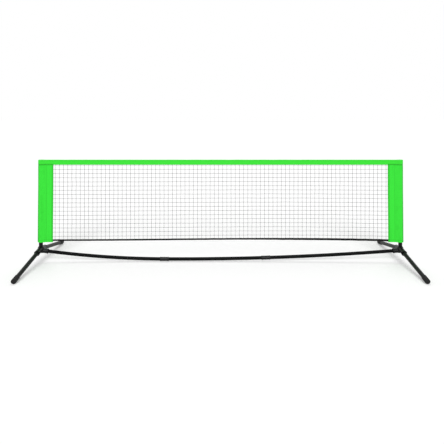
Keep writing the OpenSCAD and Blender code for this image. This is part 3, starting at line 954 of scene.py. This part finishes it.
# %% Couplers
COUPLER_LEAN = {LEFT: -0.00512, RIGHT: 0.03102}
for side in (LEFT, RIGHT):
    node = f"base_coupler_{END_NAME[side]}"
    low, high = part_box(node)
    centre = (low + high) / 2
    lean = COUPLER_LEAN[side]
    half = 36.0
    shape = [(-half, 14.2, 0.3), (-half, 17.0, 1.0), (-28, 17.15, 1.0), (-26.6, 16.0, 0.8),
             (-2.2, 15.95, 0.4), (-1.5, 16.5, 0.4), (1.5, 16.5, 0.4), (2.2, 15.95, 0.4),
             (26.6, 16.0, 0.8), (28, 17.15, 1.0),
             (half, 17.0, 1.0), (half, 14.2, 0.3), (1.5, 14.2, 0.1), (1.5, 12.6, 0.1), (-1.5, 12.6, 0.1),
             (-1.5, 14.2, 0.1)]
    ferrule = turned(node + "_ferrule", shape, centre, (math.cos(lean), 0, math.sin(lean)),
                     coupler_plastic, "base")
    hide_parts(node)

# %% [markdown]
# ## The moulded hubs
#
# A hub is four sockets that flow into one another. Joining cylinders leaves hard creases where the
# mould has soft fillets, so the hub is described by distances instead: each socket is a formula for
# how far a point is from its surface, and a smooth minimum of these formulas melts them together. The
# bores are taken out the same way. The surface is then drawn where the distance is nought, by putting
# one point in each cell of a fine lattice that the surface crosses.

# %% Distances to simple shapes, in millimetres
def to_rod(p, start, axis, length, radius, edge=1.0):
    along = (p - start) @ axis
    away = np.linalg.norm(p - start - along[..., None] * axis, axis=-1)
    d = np.stack([away - radius + edge, np.abs(along - length / 2) - length / 2 + edge])
    return np.minimum(d.max(0), 0) + np.linalg.norm(np.maximum(d, 0), axis=0) - edge


def melt(a, b, k):
    h = np.clip(0.5 + 0.5 * (b - a) / k, 0, 1)
    return b + (a - b) * h - k * h * (1 - h)


def carve(a, b, k=0.5):
    return -melt(-a, b, k)


def to_slab(p, corners, turn, half_thick):
    """A flat rib: a polygon in the plane that turn points along, with a thickness."""
    u, v = p @ turn, p[..., 2]
    w = np.abs(p @ np.array([-turn[1], turn[0], 0.0])) - half_thick
    edge = np.full(u.shape, -1e9)
    for (a, b), (c, d) in zip(corners, corners[1:] + corners[:1]):
        length = math.hypot(c - a, d - b)
        edge = np.maximum(edge, ((u - a) * (d - b) - (v - b) * (c - a)) / length)
    return np.maximum(edge, w)


# %% The hub as one distance
BAR_DIP = {LEFT: 0.12989, RIGHT: 0.07712}
BAR_MID = {LEFT: -18.82, RIGHT: -16.40}


def hub_distance(p, side):
    up = np.array([0.0, 0.0, 1.0])
    shape = to_rod(p, np.array([0, 0, -31.0]), up, 48.0, 20.6, 2.0)
    shape = np.minimum(shape, to_rod(p, np.array([0, 0, 8.0]), up, 9.0, 22.2, 1.4))
    legs, rims, bores = [], [], []
    for way in (FRONT, REAR):
        axis = np.array(leg_axis(way))
        legs.append(to_rod(p, np.zeros(3), axis, 84.0, 21.6, 1.0))
        rims.append(to_rod(p, axis * 76.5, axis, 9.5, 23.2, 1.5))
        bores.append(to_rod(p, axis * 23.96, axis, 80.0, 16.1, 0.2))
    tilt = BAR_DIP[side]
    bar_axis = np.array([-side * math.cos(math.asin(tilt)), 0.0, -tilt])
    bar_mid = np.array([-side * 43.48, 0.0, BAR_MID[side]])
    bar_start = bar_mid - bar_axis * 43.48
    legs.append(to_rod(p, bar_start, bar_axis, 61.0, 19.2, 1.0))
    rims.append(to_rod(p, bar_start + bar_axis * 53.5, bar_axis, 9.4, 20.8, 1.4))
    bores.append(to_rod(p, bar_start + bar_axis * 23.8, bar_axis, 60.0, 14.18, 0.2))
    for leg in legs:
        shape = melt(shape, leg, 9.0)
    shape = melt(shape, np.linalg.norm(p, axis=-1) - 23.4, 5.0)
    for way in (FRONT, REAR):
        axis = np.array(leg_axis(way))
        flat = np.array([axis[0], axis[1], 0.0]) / math.hypot(axis[0], axis[1])
        corners = [(0, 12.5), (20.6, 12.5), (62, 11.0), (62, -32.8), (20.6, -31), (0, -31)]
        shape = melt(shape, to_slab(p, corners, flat, 3.5), 3.0)
    for rim in rims:
        shape = melt(shape, rim, 1.6)
    shape = carve(shape, to_rod(p, np.array([0, 0, -27.0]), up, 80.0, 16.1, 0.2))
    for bore in bores:
        shape = carve(shape, bore)
    return shape


# %% Draw the surface where the distance is nought
def draw_surface(distance, low, high, step):
    axes = [np.arange(a, b + step, step) for a, b in zip(low, high)]
    nodes = np.stack(np.meshgrid(*axes, indexing="ij"), -1)
    value = distance(nodes)
    inside = value < 0
    n = np.array(value.shape) - 1
    count = np.zeros(n, int)
    total = np.zeros((*n, 3))
    for axis in range(3):
        other = [a for a in range(3) if a != axis]
        lower = [slice(None)] * 3
        upper = [slice(None)] * 3
        lower[axis], upper[axis] = slice(0, -1), slice(1, None)
        a, b = value[tuple(lower)], value[tuple(upper)]
        cut = inside[tuple(lower)] != inside[tuple(upper)]
        share = np.where(cut, a / np.where(cut, a - b, 1), 0)
        spot = nodes[tuple(lower)] + share[..., None] * step * np.eye(3)[axis]
        spot = np.where(cut[..., None], spot, 0)
        for i in (0, 1):
            for j in (0, 1):
                pick = [slice(None)] * 3
                pick[other[0]] = slice(i, i + n[other[0]])
                pick[other[1]] = slice(j, j + n[other[1]])
                count += cut[tuple(pick)]
                total += spot[tuple(pick)]
    crossed = count > 0
    index = np.full(n, -1)
    index[crossed] = np.arange(crossed.sum())
    points = total[crossed] / count[crossed][:, None]
    faces = []
    for axis in range(3):
        u, v = [(1, 2), (2, 0), (0, 1)][axis]
        lower = [slice(1, -1)] * 3
        upper = [slice(1, -1)] * 3
        lower[axis], upper[axis] = slice(0, -1), slice(1, None)
        cut = inside[tuple(lower)] != inside[tuple(upper)]
        where = np.argwhere(cut)
        where[:, [u, v]] += 1
        flip = ~inside[tuple(lower)][cut]
        corners = []
        for du, dv in ((0, 0), (-1, 0), (-1, -1), (0, -1)):
            cell = where.copy()
            cell[:, u] += du
            cell[:, v] += dv
            corners.append(index[tuple(cell.T)])
        quad = np.stack(corners, -1)
        quad[flip] = quad[flip][:, ::-1]
        faces.append(quad)
    small = step * 0.2
    for _ in range(3):
        d = distance(points)
        slope = np.stack([distance(points + small * e) - distance(points - small * e)
                          for e in np.eye(3)], -1) / (2 * small)
        steep = np.maximum((slope ** 2).sum(-1), 0.3)
        points = points - np.clip(d, -step, step)[:, None] * slope / steep[:, None]
    return points, np.concatenate(faces)


# %% Both hubs
for side in (LEFT, RIGHT):
    name = END_NAME[side] + "_hub"
    low = (-26 if side == LEFT else -70, -92, -42)
    high = (70 if side == LEFT else 26, 92, 27)
    points, faces = draw_surface(lambda p: hub_distance(p, side), low, high, 1.5)
    points = points * MM + np.array(hub_centre[side])
    hub = make_piece(name + "_moulding", points, faces, hub_plastic, "base", sharp=50)
    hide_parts(name)
